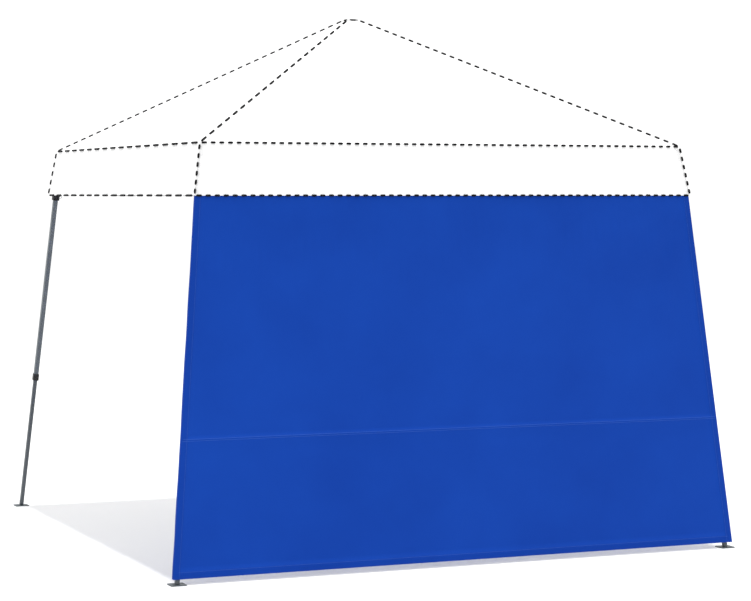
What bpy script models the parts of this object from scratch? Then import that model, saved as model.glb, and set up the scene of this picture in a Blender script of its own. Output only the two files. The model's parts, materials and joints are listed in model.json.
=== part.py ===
"""Pop-up canopy with slanted legs, a folding truss and one side wall.

Metres, +Z up. The origin is on the ground in the middle of the four feet, and the side wall hangs
on the -Y side. The frame has four equal quarters. Each quarter is a leg with its brackets, one roof
rafter in two halves, and the two scissor pairs of one side, so every piece is made once, in the
front left quarter, and copied round the Z axis.
"""
import math

import bmesh
import bpy
from mathutils import Matrix, Vector

# ---------------------------------------------------------------- driving dimensions, in metres
FOOT_HALF = 1.524            # leg axis to the centre line, on the ground
LEAN = 0.096                 # how far a leg leans inwards for each metre up, along X and along Y

EAVE_Z = 2.125               # corner of the roof, above the ground
ROOF_RISE = 0.720            # eave to peak
VALANCE_DROP = 0.258         # eave to the lower edge of the valance
EAVE_CLEAR = 0.002           # the cover's corner stands this far outside the top bracket
VALANCE_FLARE = 0.042        # how far the valance widens on its way down
PEAK_HALF = 0.032            # half of the small flat on top of the roof
CLOTH = 0.002                # thickness of the cover and of the side wall

WALL_TUCK_UP = 0.033         # side wall: its top edge is tucked up this far behind the valance
WALL_FOOT_Z = 0.030
WALL_CLEAR = 0.01138         # its lower corner stands this far outside the line of the collars
WALL_TUCK = 0.0035           # gap between the valance and the wall behind it

UPPER_TUBE = 0.026           # square steel tubes, outside
UPPER_WALL = 0.0016
LOWER_WALL = 0.0014
TUBE_PLAY = 0.0013           # the lower tube is this much narrower than the upper one's bore
TUBE_CHAMFER = 0.002
BORE_CHAMFER = 0.0018        # corners of a bore round the upper or the lower tube
INNER_CHAMFER = 0.0012       # corners inside a tube
UPPER_FOOT_Z = 0.780         # lower end of the upper tube
TUBE_OVERLAP = 0.520         # how much of the lower tube is inside the upper one

COLLAR_WALL = 0.0035         # plastic collar on the end of the upper tube
COLLAR_REACH = 0.019         # from the tube's end to each end of the collar
COLLAR_STEP = 0.001          # the bore is narrow below a step this far under the tube's end
BUTTON_R = 0.0050            # push button in the collar
BUTTON_PROUD = 0.0030
BUTTON_TRAVEL = 0.0030
BUTTON_DROP = 0.010          # from the tube's end down to the button
BUTTON_SOFT = 0.0008         # its edge

SLIDER_WALL = 0.006          # sliding bracket
SLIDER_BELOW_HEM = 0.029     # its lower end, its upper end and its pivots, from the valance's hem
SLIDER_ABOVE_HEM = 0.108
SLIDER_PIVOT_RISE = 0.078
PIN_SHAFT_R = 0.003          # pull pin in the slider
PIN_KNOB_R = 0.006
PIN_KNOB_LENGTH = 0.009
PIN_KNOB_SOFT = 0.001
PIN_BELOW_HEM = 0.001

SOCKET_WALL = 0.003          # top bracket
SOCKET_FOOT_DROP = 0.093     # its lower end, its upper end and its pivots, down from the eave
SOCKET_TOP_DROP = 0.030
TOP_PIVOT_DROP = 0.055
SOCKET_ROOF = 0.004          # solid top of the bracket, above the tube's end
BRACKET_CHAMFER = 0.003

LUG = 0.060                  # leg axis to the pivots of the side bars
RAFTER_LUG = 0.048           # leg axis to the pivot of the rafter, along the diagonal
RAFTER_SLOPE = math.radians(18.0)

BAR_HEIGHT = 0.024           # flat bars of the truss and of the rafters
BAR_THICK = 0.012
PIVOT_R = 0.004              # rivets that the bars turn on
HEAD_R = 0.0072
HEAD_THICK = 0.0025
LOW_HEAD = 0.0015            # head on the side that a rivet starts from
SEAT = 0.0024                # how deep a head or a shaft is sunk into the piece that carries it

HUB_R = 0.022
HUB_Z = (-0.020, 0.016)      # lower and upper face of the hub, from its pivots
HUB_CHAMFER = 0.003
POST_R = 0.0100
POST_SEAT = 0.010            # how deep the post stands in the hub
CAP_R = 0.030
CAP_THICK = 0.006
CAP_EDGE = (0.002, 0.001)    # the cap's top edge is cut back this far in, and this far down

FOOT_PLATE = 0.080
FOOT_THICK = 0.0045
FOOT_CHAMFER = 0.006
FOOT_PLUG_LENGTH = 0.040     # the plate's plug, inside the lower tube
FOOT_RIVET_Z = 0.028
FOOT_RIVET_R = 0.0035
FOOT_RIVET_PROUD = 0.0020

GAP = 0.0003                 # clearance of pieces that touch
RUN = 0.0005                 # clearance of pieces that slide or turn
THROUGH = 0.010              # how far a cutter runs past the face that it cuts
SEGMENTS = 10                # sides of a rivet
FOOT_RIVET_SEGMENTS = 8
CAP_STEPS = 4                # facets on the round end of a bar

# ---------------------------------------------------------------- geometry of the folding frame
N1 = math.hypot(1.0, LEAN)                       # length in a side's plane for each metre up
N2 = math.sqrt(1.0 + 2.0 * LEAN * LEAN)          # length along a leg for each metre up
KINK = math.atan(LEAN / N1)                      # lean of a leg, seen square on to a side


def leg_half(z):
    """Distance of a leg's axis from the centre line at height z."""
    return FOOT_HALF - LEAN * z


PEAK_Z = EAVE_Z + ROOF_RISE
HEM_Z = EAVE_Z - VALANCE_DROP

LOWER_TUBE = UPPER_TUBE - 2.0 * UPPER_WALL - TUBE_PLAY
LOWER_TOP_Z = UPPER_FOOT_Z + TUBE_OVERLAP
COLLAR = UPPER_TUBE + 2.0 * COLLAR_WALL
COLLAR_Z = (UPPER_FOOT_Z - COLLAR_REACH, UPPER_FOOT_Z + COLLAR_REACH)
COLLAR_STEP_Z = UPPER_FOOT_Z - COLLAR_STEP
BUTTON_Z = UPPER_FOOT_Z - BUTTON_DROP

SLIDER = UPPER_TUBE + 2.0 * SLIDER_WALL
SLIDER_Z = (HEM_Z - SLIDER_BELOW_HEM, HEM_Z + SLIDER_ABOVE_HEM)
SLIDER_PIVOT_Z = HEM_Z + SLIDER_PIVOT_RISE
PIN_Z = HEM_Z - PIN_BELOW_HEM
SOCKET = UPPER_TUBE + 2.0 * SOCKET_WALL
SOCKET_Z = (EAVE_Z - SOCKET_FOOT_DROP, EAVE_Z - SOCKET_TOP_DROP)
TOP_PIVOT_Z = EAVE_Z - TOP_PIVOT_DROP

EAVE_HALF = leg_half(EAVE_Z) + SOCKET / 2.0 + EAVE_CLEAR
HEM_HALF = EAVE_HALF + VALANCE_FLARE
WALL_TOP_Z = HEM_Z + WALL_TUCK_UP
WALL_FOOT_HALF = leg_half(WALL_FOOT_Z) + COLLAR / 2.0 + WALL_CLEAR

SPAN = leg_half(TOP_PIVOT_Z) - LUG               # top pivot of a side to the middle of that side
DROP = (TOP_PIVOT_Z - SLIDER_PIVOT_Z) * N2       # top pivot to slider pivot, along the leg
SHARE = DROP / SPAN
COS_H = math.cos(KINK / 2.0)
SIN_H = math.sin(KINK / 2.0)
PHI = math.atan(SHARE * COS_H * COS_H / (1.0 + SHARE * COS_H * SIN_H))   # half the scissor's angle
ARM = DROP / (2.0 * math.sin(PHI))               # pivot to pivot, half of a bar
THETA = PHI + KINK / 2.0                         # half the fold of a rafter

HUB_PIVOT_R = math.sqrt(2.0) * LUG - RAFTER_LUG  # this keeps the roof and the sides in step
RAFTER_RUN = math.sqrt(2.0) * SPAN
HUB_PIVOT_Z = TOP_PIVOT_Z + RAFTER_RUN * math.tan(RAFTER_SLOPE)
RAFTER_HALF = RAFTER_RUN / math.cos(RAFTER_SLOPE) / 2.0 / math.cos(THETA)


def side_points():
    """Pivots of the front side, in that side's plane: x along it, y up it."""
    top_left = Vector((-SPAN, TOP_PIVOT_Z * N1))
    down_leg = Vector((-math.sin(KINK), -math.cos(KINK)))
    centre = top_left + ARM * Vector((math.cos(PHI + KINK), -math.sin(PHI + KINK)))
    rise = ARM * math.sin(PHI)
    left = {
        "top": top_left,
        "slider": top_left + DROP * down_leg,
        "centre": centre,
        "mid_top": Vector((0.0, centre.y + rise)),
        "mid_bottom": Vector((0.0, centre.y - rise)),
    }
    right = {name: Vector((-point.x, point.y)) for name, point in left.items()}
    return left, right


def rafter_points():
    """Pivots of one rafter in its upright plane: x outwards along the diagonal, y up."""
    hub = Vector((HUB_PIVOT_R, HUB_PIVOT_Z))
    corner = Vector((HUB_PIVOT_R + RAFTER_RUN, TOP_PIVOT_Z))
    below = Vector((-math.sin(RAFTER_SLOPE), -math.cos(RAFTER_SLOPE)))
    elbow = (hub + corner) / 2.0 + RAFTER_HALF * math.sin(THETA) * below
    return hub, elbow, corner


def frame_matrix(x_axis, y_axis, z_axis, origin=(0.0, 0.0, 0.0)):
    """A matrix whose columns are three axes and an origin."""
    matrix = Matrix((x_axis, y_axis, z_axis)).transposed().to_4x4()
    matrix.translation = Vector(origin)
    return matrix


def side_matrix():
    """Plane of the front side: x along it, y up it, z out of it."""
    up = Vector((0.0, LEAN, 1.0)).normalized()
    out = Vector((1.0, 0.0, 0.0)).cross(up)
    return frame_matrix(Vector((1.0, 0.0, 0.0)), up, out, (0.0, -FOOT_HALF, 0.0))


def diagonal_matrix():
    """Upright plane of the front left rafter: x outwards, y up, z across it."""
    out = Vector((-1.0, -1.0, 0.0)).normalized()
    up = Vector((0.0, 0.0, 1.0))
    return frame_matrix(out, up, out.cross(up))


def leg_matrix():
    """Front left leg: origin at its axis on the ground, z up the leg, x and y square to it."""
    up = Vector((LEAN, LEAN, 1.0)).normalized()
    across = Vector((1.0, 0.0, 0.0))
    across = (across - across.dot(up) * up).normalized()
    return frame_matrix(across, up.cross(across), up, (-FOOT_HALF, -FOOT_HALF, 0.0))


def quarter_turn(count):
    """Turn about the Z axis by count quarters."""
    return Matrix.Rotation(count * math.pi / 2.0, 4, "Z")


# ---------------------------------------------------------------- shapes
def finish(bm, name):
    """Turn a bmesh into a mesh with outward faces."""
    bmesh.ops.recalc_face_normals(bm, faces=bm.faces)
    mesh = bpy.data.meshes.new(name)
    bm.to_mesh(mesh)
    bm.free()
    return mesh


def prism(outline, low, high, matrix=None):
    """Closed solid from a flat outline, raised from low to high."""
    bm = bmesh.new()
    floor = bm.faces.new([bm.verts.new((x, y, low)) for x, y in outline])
    raised = bmesh.ops.extrude_face_region(bm, geom=[floor])
    lifted = [item for item in raised["geom"] if isinstance(item, bmesh.types.BMVert)]
    bmesh.ops.translate(bm, verts=lifted, vec=(0.0, 0.0, high - low))
    if matrix is not None:
        bmesh.ops.transform(bm, matrix=matrix, verts=bm.verts)
    return finish(bm, "prism")


def circle(radius, centre=(0.0, 0.0), segments=SEGMENTS):
    """Points of a regular polygon with a corner at each radius."""
    step = 2.0 * math.pi / segments
    return [(centre[0] + radius * math.cos(step * (i + 0.5)),
             centre[1] + radius * math.sin(step * (i + 0.5))) for i in range(segments)]


def square(half_x, half_y=None, chamfer=0.0, centre=(0.0, 0.0)):
    """Points of a rectangle, with its corners cut off if it has a chamfer."""
    half_y = half_x if half_y is None else half_y
    points = []
    for sx, sy in ((1, -1), (1, 1), (-1, 1), (-1, -1)):
        if chamfer > 0.0:
            first = (sx * half_x, sy * (half_y - chamfer))
            second = (sx * (half_x - chamfer), sy * half_y)
            points += [first, second] if sx * sy > 0 else [second, first]
        else:
            points.append((sx * half_x, sy * half_y))
    return [(centre[0] + x, centre[1] + y) for x, y in points]


def hole_radius(radius, segments=SEGMENTS):
    """Corner radius of a polygon hole that a pin of this radius turns in."""
    return (radius + RUN) / math.cos(math.pi / segments)


def strip(points, half_width):
    """Outline of a flat bar along a line of points, with round ends."""
    directions = [(b - a).normalized() for a, b in zip(points, points[1:])]
    ends = ((points[-1], directions[-1]), (points[0], -directions[0]))
    outline = []
    for number, (end, away) in enumerate(ends):
        start = math.atan2(away.y, away.x) - math.pi / 2.0
        for i in range(CAP_STEPS + 1):
            angle = start + math.pi * i / CAP_STEPS
            outline.append((end.x + half_width * math.cos(angle),
                            end.y + half_width * math.sin(angle)))
        side = 1.0 if number == 0 else -1.0
        middle = list(range(1, len(points) - 1))
        for index in (reversed(middle) if number == 0 else middle):
            along = (directions[index - 1] + directions[index]).normalized()
            normal = Vector((-along.y, along.x)) * side
            reach = half_width / normal.dot(Vector((-directions[index].y, directions[index].x)) * side)
            corner = points[index] + normal * reach
            outline.append((corner.x, corner.y))
    return outline


def temporary(mesh):
    """Object for one step of a Boolean."""
    obj = bpy.data.objects.new("step", mesh)
    bpy.context.scene.collection.objects.link(obj)
    return obj


def combine(base, joined=(), cut=()):
    """Add meshes to a mesh, then cut others out of it."""
    body = temporary(base)
    helpers = []
    for operation, meshes in (("UNION", joined), ("DIFFERENCE", cut)):
        for mesh in meshes:
            helper = temporary(mesh)
            helpers.append(helper)
            modifier = body.modifiers.new(operation.lower(), "BOOLEAN")
            modifier.operation = operation
            modifier.solver = "EXACT"
            modifier.object = helper
    bpy.context.view_layer.update()
    evaluated = body.evaluated_get(bpy.context.evaluated_depsgraph_get())
    result = bpy.data.meshes.new_from_object(evaluated)
    for obj in [body] + helpers:
        bpy.data.objects.remove(obj)
    return result


def turned(outline, matrix=None, segments=16):
    """Solid of revolution about z from (radius, height) points, bottom to top."""
    bm = bmesh.new()
    rings = []
    for radius, height in outline:
        rings.append([bm.verts.new((x, y, height)) for x, y in circle(radius, segments=segments)])
    for low, high in zip(rings, rings[1:]):
        for i in range(segments):
            j = (i + 1) % segments
            bm.faces.new((low[i], low[j], high[j], high[i]))
    bm.faces.new(list(reversed(rings[0])))
    bm.faces.new(rings[-1])
    if matrix is not None:
        bmesh.ops.transform(bm, matrix=matrix, verts=bm.verts)
    return finish(bm, "turned")


def moved(mesh, matrix):
    """Place a mesh that was made in its own plane. Booleans are done before this, on flat faces."""
    mesh.transform(matrix)
    return mesh


def rivet(point, side):
    """Pin and head that stand through the layer on one side (+1 out, -1 in) of a bar's plane."""
    start = -side * (RUN + BAR_THICK / 2.0)
    far = side * (RUN + BAR_THICK + GAP)
    tip = far + side * HEAD_THICK
    inside = (far + tip) / 2.0
    shaft = prism(circle(PIVOT_R, point), min(start, inside), max(start, inside))
    head = prism(circle(HEAD_R, point), min(far, tip), max(far, tip))
    return combine(shaft, [head])


def rivet_hole(point):
    """Cutter for the hole that a rivet stands in."""
    reach = 2.0 * BAR_THICK
    return prism(circle(hole_radius(PIVOT_R), point), -reach, reach)


def layer(side):
    """Lower and upper face of the bars' layer on one side of their plane."""
    near = side * RUN
    far = side * (RUN + BAR_THICK)
    return min(near, far), max(near, far)


def back_head(point, side):
    """Low head on a bar's own free face, over its rivet."""
    low = side * (RUN + BAR_THICK - SEAT)
    high = side * (RUN + BAR_THICK + LOW_HEAD)
    return prism(circle(HEAD_R, point), min(low, high), max(low, high))


def bar(points, side, matrix, holes, pins):
    """Flat bar through its points, in the layer on one side of the plane, with holes and rivets."""
    low, high = layer(side)
    body = prism(strip(points, BAR_HEIGHT / 2.0), low, high)
    added = [rivet(point, -side) for point in pins]
    added += [back_head(point, side) for point in pins]
    return moved(combine(body, added, [rivet_hole(point) for point in holes]), matrix)


# ---------------------------------------------------------------- materials
def material(name, colour, roughness, metallic=0.0):
    """Plain Principled material."""
    result = bpy.data.materials.new(name)
    result.use_nodes = True
    shader = result.node_tree.nodes["Principled BSDF"]
    shader.inputs["Base Color"].default_value = (*colour, 1.0)
    shader.inputs["Roughness"].default_value = roughness
    shader.inputs["Metallic"].default_value = metallic
    return result


def place(name, mesh, finish_material, turns=0):
    """Put a mesh in the scene as a named piece, turned by quarters about the Z axis."""
    if finish_material.name not in mesh.materials:
        mesh.materials.clear()
        mesh.materials.append(finish_material)
    obj = bpy.data.objects.new(name, mesh)
    obj.matrix_world = quarter_turn(turns)
    bpy.context.scene.collection.objects.link(obj)
    return obj


# ---------------------------------------------------------------- leg pieces, front left
def tube(outside, wall, low, high, matrix):
    """Square steel tube, open at both ends."""
    outer = prism(square(outside / 2.0, chamfer=TUBE_CHAMFER), low, high, matrix)
    inner_half = outside / 2.0 - wall
    inner = prism(square(inner_half, chamfer=INNER_CHAMFER), low - THROUGH, high + THROUGH, matrix)
    return combine(outer, cut=[inner])


def upper_tube():
    """Upper leg tube, from the collar to the top bracket."""
    top = SOCKET_Z[1] * N2 - SOCKET_ROOF - GAP
    return tube(UPPER_TUBE, UPPER_WALL, UPPER_FOOT_Z * N2, top, leg_matrix())


def across_y(height, matrix):
    """Matrix of a shaft along the leg's own y, crossing its axis at this distance up the leg."""
    turn = Matrix.Rotation(-math.pi / 2.0, 4, "X")
    return matrix @ Matrix.Translation((0.0, 0.0, height)) @ turn


def lower_tube():
    """Lower leg tube, with a cross hole for the foot's rivet."""
    matrix = leg_matrix()
    low = (FOOT_THICK + GAP) * N2 + LEAN * LOWER_TUBE
    body = tube(LOWER_TUBE, LOWER_WALL, low, LOWER_TOP_Z * N2, matrix)
    outline = circle(hole_radius(FOOT_RIVET_R, FOOT_RIVET_SEGMENTS), segments=FOOT_RIVET_SEGMENTS)
    hole = prism(outline, -LOWER_TUBE, LOWER_TUBE, across_y(FOOT_RIVET_Z * N2, matrix))
    return combine(body, cut=[hole])


def foot():
    """Flat foot plate with a plug inside the lower tube and a rivet across it."""
    matrix = leg_matrix()
    centre = (-FOOT_HALF, -FOOT_HALF)
    plate = prism(square(FOOT_PLATE / 2.0, chamfer=FOOT_CHAMFER, centre=centre), 0.0, FOOT_THICK)
    plug_half = LOWER_TUBE / 2.0 - LOWER_WALL - GAP
    plug = prism(square(plug_half, chamfer=TUBE_CHAMFER), FOOT_THICK / 2.0 * N2,
                 FOOT_PLUG_LENGTH * N2, matrix)
    reach = LOWER_TUBE / 2.0 + FOOT_RIVET_PROUD
    shaft = prism(circle(FOOT_RIVET_R, segments=FOOT_RIVET_SEGMENTS), -reach, reach,
                  across_y(FOOT_RIVET_Z * N2, matrix))
    return combine(plate, [plug, shaft])


def collar():
    """Plastic collar on the end of the upper tube, with a hole for its push button."""
    matrix = leg_matrix()
    low, high = (z * N2 for z in COLLAR_Z)
    body = prism(square(COLLAR / 2.0, chamfer=BRACKET_CHAMFER), low, high, matrix)
    wide = prism(square(UPPER_TUBE / 2.0 + GAP, chamfer=BORE_CHAMFER),
                 COLLAR_STEP_Z * N2, high + THROUGH, matrix)
    narrow = prism(square(LOWER_TUBE / 2.0 + GAP, chamfer=BORE_CHAMFER),
                   low - THROUGH, COLLAR_STEP_Z * N2 + SEAT, matrix)
    hole = prism(circle(hole_radius(BUTTON_R)), LOWER_TUBE / 2.0 - SEAT, COLLAR,
                 across_y(BUTTON_Z * N2, matrix))
    return combine(body, cut=[wide, narrow, hole])


def button():
    """Push button in the collar. It stops just short of the lower tube when it is pressed."""
    inner = LOWER_TUBE / 2.0 + BUTTON_TRAVEL + 2.0 * GAP
    outer = COLLAR / 2.0 + BUTTON_PROUD
    profile = [(BUTTON_R, inner), (BUTTON_R, outer - BUTTON_SOFT), (BUTTON_R - BUTTON_SOFT, outer)]
    return turned(profile, across_y(BUTTON_Z * N2, leg_matrix()), SEGMENTS)


def pull_pin():
    """Spring pin of the slider, with a knob to pull it out by."""
    start = UPPER_TUBE / 2.0 + 2.0 * RUN
    face = SLIDER / 2.0 + RUN
    end = face + PIN_KNOB_LENGTH
    profile = [(PIN_SHAFT_R, start), (PIN_SHAFT_R, face), (PIN_KNOB_R, face),
               (PIN_KNOB_R, end - PIN_KNOB_SOFT), (PIN_KNOB_R - PIN_KNOB_SOFT, end)]
    return turned(profile, across_y(PIN_Z * N2, leg_matrix()), SEGMENTS)


def lug(pivot, root_x, side, matrix):
    """Plate from a bracket to a side pivot, in one layer, with the pivot's rivet in the other."""
    root = Vector((root_x, pivot.y))
    low, high = layer(side)
    plate = prism(strip([root, pivot], BAR_HEIGHT / 2.0), low, high)
    return moved(combine(plate, [rivet(pivot, -side)]), matrix)


def bracket(size, low, high, pivot, extra_joined=(), extra_cut=(), roof=0.0):
    """Square bracket round the upper tube, with a lug to each of its two sides.

    pivot names the side pivot that it holds. The bars at the top bracket are outside at a side's
    left end and inside at its right end, and those at the slider are the other way about.
    """
    matrix = leg_matrix()
    left, right = side_points()
    first = 1 if pivot == "slider" else -1
    half = size / 2.0
    low_end, high_end = low * N2, high * N2
    body = prism(square(half, chamfer=BRACKET_CHAMFER), low_end, high_end, matrix)
    wall_middle = (UPPER_TUBE / 2.0 + half) / 2.0
    near = leg_half(SLIDER_PIVOT_Z if pivot == "slider" else TOP_PIVOT_Z) - wall_middle
    this_side = side_matrix()
    last_side = quarter_turn(-1) @ side_matrix()
    lugs = [lug(left[pivot], -near, first, this_side),
            lug(right[pivot], near, -first, last_side)]
    bore_half = UPPER_TUBE / 2.0 + (RUN if pivot == "slider" else GAP)
    bore = prism(square(bore_half, chamfer=BORE_CHAMFER), low_end - THROUGH,
                 high_end - roof if roof else high_end + THROUGH, matrix)
    return combine(body, lugs + list(extra_joined), [bore] + list(extra_cut))


def top_bracket():
    """Bracket on the leg's upper end, which holds two side bars and a rafter."""
    corner = rafter_points()[2]
    matrix = diagonal_matrix()
    start = corner.x + RAFTER_LUG - SOCKET / 2.0
    low, high = layer(1)
    plate = prism(strip([Vector((start, corner.y)), corner], BAR_HEIGHT / 2.0), low, high)
    arm = moved(combine(plate, [rivet(corner, -1)]), matrix)
    return bracket(SOCKET, *SOCKET_Z, "top", [arm], roof=SOCKET_ROOF)


def slider():
    """Bracket that slides on the leg and holds the lower ends of two side bars."""
    hole = prism(circle(hole_radius(PIN_SHAFT_R)), UPPER_TUBE / 2.0 - SEAT, SLIDER,
                 across_y(PIN_Z * N2, leg_matrix()))
    return bracket(SLIDER, *SLIDER_Z, "slider", extra_cut=[hole])


# ---------------------------------------------------------------- bars, front side and front left
def side_bars():
    """The four bars of the front side. The outer bars carry the rivets, the inner ones the holes."""
    left, right = side_points()
    matrix = side_matrix()
    return {
        "left_top_bar": bar([left["top"], left["centre"], left["mid_bottom"]], 1, matrix,
                            [left["top"]], [left["centre"], left["mid_bottom"]]),
        "left_slider_bar": bar([left["slider"], left["centre"], left["mid_top"]], -1, matrix,
                               [left["slider"], left["centre"], left["mid_top"]], []),
        "right_top_bar": bar([right["top"], right["centre"], right["mid_bottom"]], -1, matrix,
                             [right["top"], right["centre"], right["mid_bottom"]], []),
        "right_slider_bar": bar([right["slider"], right["centre"], right["mid_top"]], 1, matrix,
                                [right["slider"]], [right["centre"], right["mid_top"]]),
    }


def rafters():
    """Upper and lower half of the front left rafter."""
    hub_pivot, elbow, corner = rafter_points()
    matrix = diagonal_matrix()
    upper = bar([hub_pivot, elbow], 1, matrix, [hub_pivot], [elbow])
    lower = bar([elbow, corner], -1, matrix, [elbow, corner], [])
    return upper, lower


# ---------------------------------------------------------------- middle of the roof
def hub():
    """Hub in the middle of the roof, with a lug for each rafter and a seat for the post."""
    low, high = HUB_PIVOT_Z + HUB_Z[0], HUB_PIVOT_Z + HUB_Z[1]
    core = turned([(HUB_R - HUB_CHAMFER, low), (HUB_R, low + HUB_CHAMFER), (HUB_R, high)])
    pivot = Vector((HUB_PIVOT_R, HUB_PIVOT_Z))
    lugs = []
    for quarter in range(4):
        matrix = quarter_turn(quarter) @ diagonal_matrix()
        root = Vector((HUB_R / 2.0, HUB_PIVOT_Z))
        plate = prism(strip([root, pivot], BAR_HEIGHT / 2.0), *layer(-1))
        lugs.append(moved(combine(plate, [rivet(pivot, 1)]), matrix))
    seat = prism(circle(POST_R + RUN, segments=16), high - POST_SEAT - GAP, high + THROUGH)
    return combine(core, lugs, [seat])


def peak_post():
    """Short post on the hub, with the round cap that the cover rests on."""
    foot_z = HUB_PIVOT_Z + HUB_Z[1] - POST_SEAT
    top = PEAK_Z - CLOTH - GAP
    edge_in, edge_down = CAP_EDGE
    return turned([(POST_R, foot_z), (POST_R, top - CAP_THICK), (CAP_R, top - CAP_THICK),
                   (CAP_R, top - edge_down), (CAP_R - edge_in, top)])


# ---------------------------------------------------------------- cloth
def offset_inwards(profile, distance):
    """Move a profile of (half width, height) points inwards, square to its own runs."""
    normals = []
    for (x0, z0), (x1, z1) in zip(profile, profile[1:]):
        run = Vector((x1 - x0, z1 - z0)).normalized()
        normals.append(Vector((run.y, -run.x)))
    result = [Vector(profile[0]) + Vector((0.0, -distance))]
    for index in range(1, len(profile) - 1):
        middle = (normals[index - 1] + normals[index]).normalized()
        result.append(Vector(profile[index]) + middle * (distance / middle.dot(normals[index])))
    result.append(Vector(profile[-1]) + normals[-1] * distance)
    return [(point.x, point.y) for point in result]


def canopy_top():
    """Cover: a four-sided roof with a small flat top and a valance that flares outwards."""
    outer = [(PEAK_HALF, PEAK_Z), (EAVE_HALF, EAVE_Z), (HEM_HALF, HEM_Z)]
    inner = offset_inwards(outer, CLOTH)
    inner[-1] = (inner[-1][0], HEM_Z)
    bm = bmesh.new()
    loops = []
    for half, z in outer + list(reversed(inner)):
        loops.append([bm.verts.new((x, y, z)) for x, y in square(half)])
    for first, second in zip(loops, loops[1:]):
        for i in range(4):
            j = (i + 1) % 4
            bm.faces.new((first[i], first[j], second[j], second[i]))
    bm.faces.new(loops[0])
    bm.faces.new(loops[-1])
    return finish(bm, "cover")


def valance_half(z):
    """Half width of the valance's outer face at height z."""
    return HEM_HALF + (EAVE_HALF - HEM_HALF) * (z - HEM_Z) / (EAVE_Z - HEM_Z)


def side_wall():
    """Wall on the -Y side: a flat sheet from behind the valance to just above the ground."""
    top_half = valance_half(WALL_TOP_Z) - CLOTH - WALL_TUCK
    bm = bmesh.new()
    rings = []
    for z, half in ((WALL_FOOT_Z, WALL_FOOT_HALF), (WALL_TOP_Z, top_half)):
        corners = ((-half, -half), (half, -half), (half, -half + CLOTH), (-half, -half + CLOTH))
        rings.append([bm.verts.new((x, y, z)) for x, y in corners])
    for i in range(4):
        j = (i + 1) % 4
        bm.faces.new((rings[0][i], rings[0][j], rings[1][j], rings[1][i]))
    bm.faces.new(list(reversed(rings[0])))
    bm.faces.new(rings[1])
    return finish(bm, "wall")


# ---------------------------------------------------------------- the assembly
CORNERS = ("front_left", "front_right", "back_right", "back_left")
SIDES = ("front", "right", "back", "left")


def build():
    """Clear the scene and make every piece."""
    for obj in list(bpy.data.objects):
        bpy.data.objects.remove(obj)

    upper_steel = material("upper_leg_steel", (0.155, 0.180, 0.195), 0.42, 0.7)
    lower_steel = material("lower_leg_steel", (0.110, 0.125, 0.135), 0.42, 0.7)
    truss_steel = material("truss_steel", (0.130, 0.150, 0.160), 0.45, 0.7)
    foot_steel = material("foot_steel", (0.075, 0.092, 0.105), 0.45, 0.7)
    black_plastic = material("black_plastic", (0.012, 0.012, 0.013), 0.5)
    grey_plastic = material("grey_plastic", (0.25, 0.26, 0.27), 0.45)
    white_cloth = material("cover_cloth", (0.80, 0.80, 0.79), 0.85)
    blue_cloth = material("wall_cloth", (0.010, 0.060, 0.420), 0.80)

    rafter_upper, rafter_lower = rafters()
    corner_pieces = (
        ("upper_leg", upper_tube(), upper_steel),
        ("lower_leg", lower_tube(), lower_steel),
        ("foot_plate", foot(), foot_steel),
        ("leg_collar", collar(), black_plastic),
        ("collar_button", button(), grey_plastic),
        ("top_bracket", top_bracket(), black_plastic),
        ("slider", slider(), black_plastic),
        ("slider_pin", pull_pin(), grey_plastic),
        ("rafter_upper", rafter_upper, truss_steel),
        ("rafter_lower", rafter_lower, truss_steel),
    )
    for turns, corner in enumerate(CORNERS):
        for name, mesh, finish_material in corner_pieces:
            place(f"{name}_{corner}", mesh, finish_material, turns)

    bars = side_bars()
    for turns, side in enumerate(SIDES):
        for name, mesh in bars.items():
            place(f"{side}_{name}", mesh, truss_steel, turns)

    place("roof_hub", hub(), black_plastic)
    place("peak_post", peak_post(), grey_plastic)
    place("canopy_top", canopy_top(), white_cloth)
    place("side_wall", side_wall(), blue_cloth)


build()
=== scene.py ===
# %% [markdown]
# # A pop-up canopy with one side wall
# The frame of this canopy is already built: legs, brackets, sliders, rafters and the crossed bars
# of its four sides. This lesson dresses it. It sews a white cover with a valance, hangs a blue wall,
# finishes the steel and the plastic, and lights the whole thing in an even studio light.
# Every size is read from the frame, so the cloth always fits it.

# %% Start from the frame
import json
import math
import bmesh
import bpy
import numpy as np
from mathutils import Matrix, Vector, noise


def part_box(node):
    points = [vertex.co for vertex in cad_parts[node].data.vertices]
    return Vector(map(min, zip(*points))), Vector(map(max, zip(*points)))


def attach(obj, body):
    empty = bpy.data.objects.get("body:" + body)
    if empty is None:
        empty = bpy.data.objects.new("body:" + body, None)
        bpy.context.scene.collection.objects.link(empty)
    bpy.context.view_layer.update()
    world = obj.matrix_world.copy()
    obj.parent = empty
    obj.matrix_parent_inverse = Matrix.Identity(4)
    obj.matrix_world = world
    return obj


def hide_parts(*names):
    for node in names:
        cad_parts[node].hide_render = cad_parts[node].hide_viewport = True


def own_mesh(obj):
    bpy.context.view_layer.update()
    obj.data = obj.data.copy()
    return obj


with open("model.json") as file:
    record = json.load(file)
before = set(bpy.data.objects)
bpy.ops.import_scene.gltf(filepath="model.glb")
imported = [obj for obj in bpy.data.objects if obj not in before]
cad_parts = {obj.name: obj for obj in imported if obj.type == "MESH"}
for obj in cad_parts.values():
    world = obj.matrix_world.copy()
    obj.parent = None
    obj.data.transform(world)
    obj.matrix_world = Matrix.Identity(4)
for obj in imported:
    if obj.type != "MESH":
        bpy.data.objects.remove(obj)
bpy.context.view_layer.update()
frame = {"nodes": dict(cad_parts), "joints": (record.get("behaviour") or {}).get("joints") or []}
bpy.ops.object.select_all(action="DESELECT")
noise.seed_set(7)
CORNERS = ("front_left", "front_right", "back_right", "back_left")
joints = {joint["name"]: joint for joint in frame["joints"]}

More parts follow.
